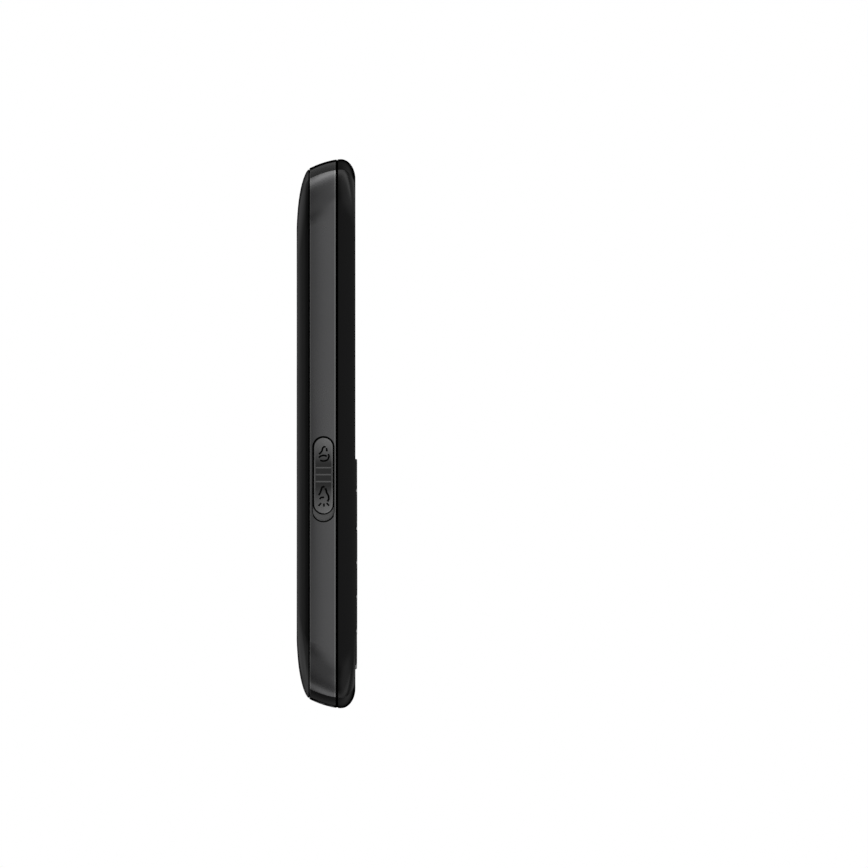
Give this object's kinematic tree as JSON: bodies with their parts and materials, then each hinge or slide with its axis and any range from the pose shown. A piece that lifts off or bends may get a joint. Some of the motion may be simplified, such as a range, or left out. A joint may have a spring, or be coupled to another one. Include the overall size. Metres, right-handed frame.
{
  "type": "mobile phone",
  "caption": "Slim black bar phone with a raised keypad, a small screen, a torch slide switch, a lanyard eyelet and a lift-off back cover over its battery.",
  "frame": {"origin": "middle of the case's bounding box, at its foot", "axes": "+Z along the phone towards the earpiece end, +Y out of the back cover, -Y out of the screen and the keys, -X the side of the torch switch"},
  "size_m": [0.052, 0.0132, 0.12],
  "materials": {
    "housing_black": "semi-gloss black polycarbonate",
    "frame_satin": "satin dark grey plastic",
    "cover_black": "semi-gloss black polycarbonate",
    "window_glass": "tinted clear acrylic window",
    "adhesive_black": "black foam and tape",
    "display_dark": "dark display panel",
    "mesh_steel": "fine steel mesh",
    "speaker_black": "black speaker frame",
    "silicone": "translucent grey silicone",
    "dome_steel": "stamped steel",
    "board_green": "solder-masked circuit board",
    "shield_steel": "tinned sheet steel",
    "jack_black": "moulded black plastic",
    "lamp_yellow": "lamp with phosphor",
    "lens_clear": "clear lens",
    "slider_satin": "satin dark grey plastic",
    "chassis_black": "fine textured black plastic",
    "battery_grey": "grey wrapped battery pack",
    "legend_white": "printed key legend",
    "legend_green": "printed call sign",
    "legend_red": "printed end sign",
    "contact_gold": "gold-plated spring metal",
    "screw_steel": "blackened steel",
    "key_black": "gloss black keys"
  },
  "bodies": {
    "case": {"front_housing": "housing_black", "mid_frame": "frame_satin", "foot_trim": "frame_satin", "display_window": "window_glass", "window_adhesive": "adhesive_black", "display_gasket": "adhesive_black", "display_module": "display_dark", "earpiece_mesh": "mesh_steel", "receiver": "speaker_black", "keypad_mat": "silicone", "dome_sheet": "dome_steel", "main_board": "board_green", "processor_shield": "shield_steel", "radio_shield": "shield_steel", "usb_socket": "shield_steel", "audio_jack": "jack_black", "microphone": "shield_steel", "torch_led": "lamp_yellow", "torch_lens": "lens_clear", "torch_switch": "shield_steel", "rear_chassis": "chassis_black", "battery_contacts": "contact_gold", "sim_holder_1": "shield_steel", "sim_holder_2": "shield_steel", "memory_card_slot": "shield_steel", "loudspeaker": "speaker_black", "loudspeaker_mesh": "mesh_steel", "vibration_motor": "shield_steel", "antenna": "contact_gold", "housing_screws": "screw_steel"},
    "key_1": {"key_1": "key_black"},
    "key_2": {"key_2": "key_black"},
    "key_3": {"key_3": "key_black"},
    "key_4": {"key_4": "key_black"},
    "key_5": {"key_5": "key_black"},
    "key_6": {"key_6": "key_black"},
    "key_7": {"key_7": "key_black"},
    "key_8": {"key_8": "key_black"},
    "key_9": {"key_9": "key_black"},
    "key_star": {"key_star": "key_black"},
    "key_0": {"key_0": "key_black"},
    "key_hash": {"key_hash": "key_black"},
    "soft_key_left": {"soft_key_left": "key_black"},
    "soft_key_right": {"soft_key_right": "key_black"},
    "call_key": {"call_key": "key_black"},
    "end_key": {"end_key": "key_black"},
    "centre_key": {"centre_key": "key_black"},
    "ring_gimbal": {"ring_gimbal": "dome_steel"},
    "direction_ring": {"direction_ring": "key_black"},
    "torch_slider": {"torch_slider": "slider_satin", "torch_switch_lever": "jack_black"},
    "back_cover": {"back_cover": "cover_black"},
    "battery": {"battery": "battery_grey"}
  },
  "joints": [
    {"name": "key_1_press", "type": "slide", "parent": "case", "child": "key_1", "axis": [0, 1, 0], "range_m": [0, 0.0003], "stiffness_N_per_m": 4000},
    {"name": "key_2_press", "type": "slide", "parent": "case", "child": "key_2", "axis": [0, 1, 0], "range_m": [0, 0.0003], "stiffness_N_per_m": 4000},
    {"name": "key_3_press", "type": "slide", "parent": "case", "child": "key_3", "axis": [0, 1, 0], "range_m": [0, 0.0003], "stiffness_N_per_m": 4000},
    {"name": "key_4_press", "type": "slide", "parent": "case", "child": "key_4", "axis": [0, 1, 0], "range_m": [0, 0.0003], "stiffness_N_per_m": 4000},
    {"name": "key_5_press", "type": "slide", "parent": "case", "child": "key_5", "axis": [0, 1, 0], "range_m": [0, 0.0003], "stiffness_N_per_m": 4000},
    {"name": "key_6_press", "type": "slide", "parent": "case", "child": "key_6", "axis": [0, 1, 0], "range_m": [0, 0.0003], "stiffness_N_per_m": 4000},
    {"name": "key_7_press", "type": "slide", "parent": "case", "child": "key_7", "axis": [0, 1, 0], "range_m": [0, 0.0003], "stiffness_N_per_m": 4000},
    {"name": "key_8_press", "type": "slide", "parent": "case", "child": "key_8", "axis": [0, 1, 0], "range_m": [0, 0.0003], "stiffness_N_per_m": 4000},
    {"name": "key_9_press", "type": "slide", "parent": "case", "child": "key_9", "axis": [0, 1, 0], "range_m": [0, 0.0003], "stiffness_N_per_m": 4000},
    {"name": "key_star_press", "type": "slide", "parent": "case", "child": "key_star", "axis": [0, 1, 0], "range_m": [0, 0.0003], "stiffness_N_per_m": 4000},
    {"name": "key_0_press", "type": "slide", "parent": "case", "child": "key_0", "axis": [0, 1, 0], "range_m": [0, 0.0003], "stiffness_N_per_m": 4000},
    {"name": "key_hash_press", "type": "slide", "parent": "case", "child": "key_hash", "axis": [0, 1, 0], "range_m": [0, 0.0003], "stiffness_N_per_m": 4000},
    {"name": "soft_key_left_press", "type": "slide", "parent": "case", "child": "soft_key_left", "axis": [0, 1, 0], "range_m": [0, 0.0003], "stiffness_N_per_m": 4000},
    {"name": "soft_key_right_press", "type": "slide", "parent": "case", "child": "soft_key_right", "axis": [0, 1, 0], "range_m": [0, 0.0003], "stiffness_N_per_m": 4000},
    {"name": "call_key_press", "type": "slide", "parent": "case", "child": "call_key", "axis": [0, 1, 0], "range_m": [0, 0.0003], "stiffness_N_per_m": 4000},
    {"name": "end_key_press", "type": "slide", "parent": "case", "child": "end_key", "axis": [0, 1, 0], "range_m": [0, 0.0003], "stiffness_N_per_m": 4000},
    {"name": "centre_key_press", "type": "slide", "parent": "case", "child": "centre_key", "axis": [0, 1, 0], "range_m": [0, 0.0003], "stiffness_N_per_m": 4000},
    {"name": "ring_tilt_up_down", "type": "hinge", "parent": "case", "child": "ring_gimbal", "pos_m": [0, -0.00425, 0.04655], "axis": [1, 0, 0], "range_deg": [-1.2, 1.2], "stiffness_Nm_per_rad": 0.4},
    {"name": "ring_tilt_left_right", "type": "hinge", "parent": "ring_gimbal", "child": "direction_ring", "pos_m": [0, -0.00425, 0.04655], "axis": [0, 0, 1], "range_deg": [-1.2, 1.2], "stiffness_Nm_per_rad": 0.4},
    {"name": "torch_slide", "type": "slide", "parent": "case", "child": "torch_slider", "axis": [0, 0, -1], "range_m": [0, 0.00145]},
    {"name": "cover_lift", "type": "slide", "parent": "case", "child": "back_cover", "axis": [0, 1, 0], "range_m": [0, 0.03]},
    {"name": "battery_lift", "type": "slide", "parent": "case", "child": "battery", "axis": [0, 1, 0], "range_m": [0, 0.0136]}
  ],
  "couplings": [
    {"joint": "battery_lift", "follows": "cover_lift", "ratio": 0.45}
  ]
}
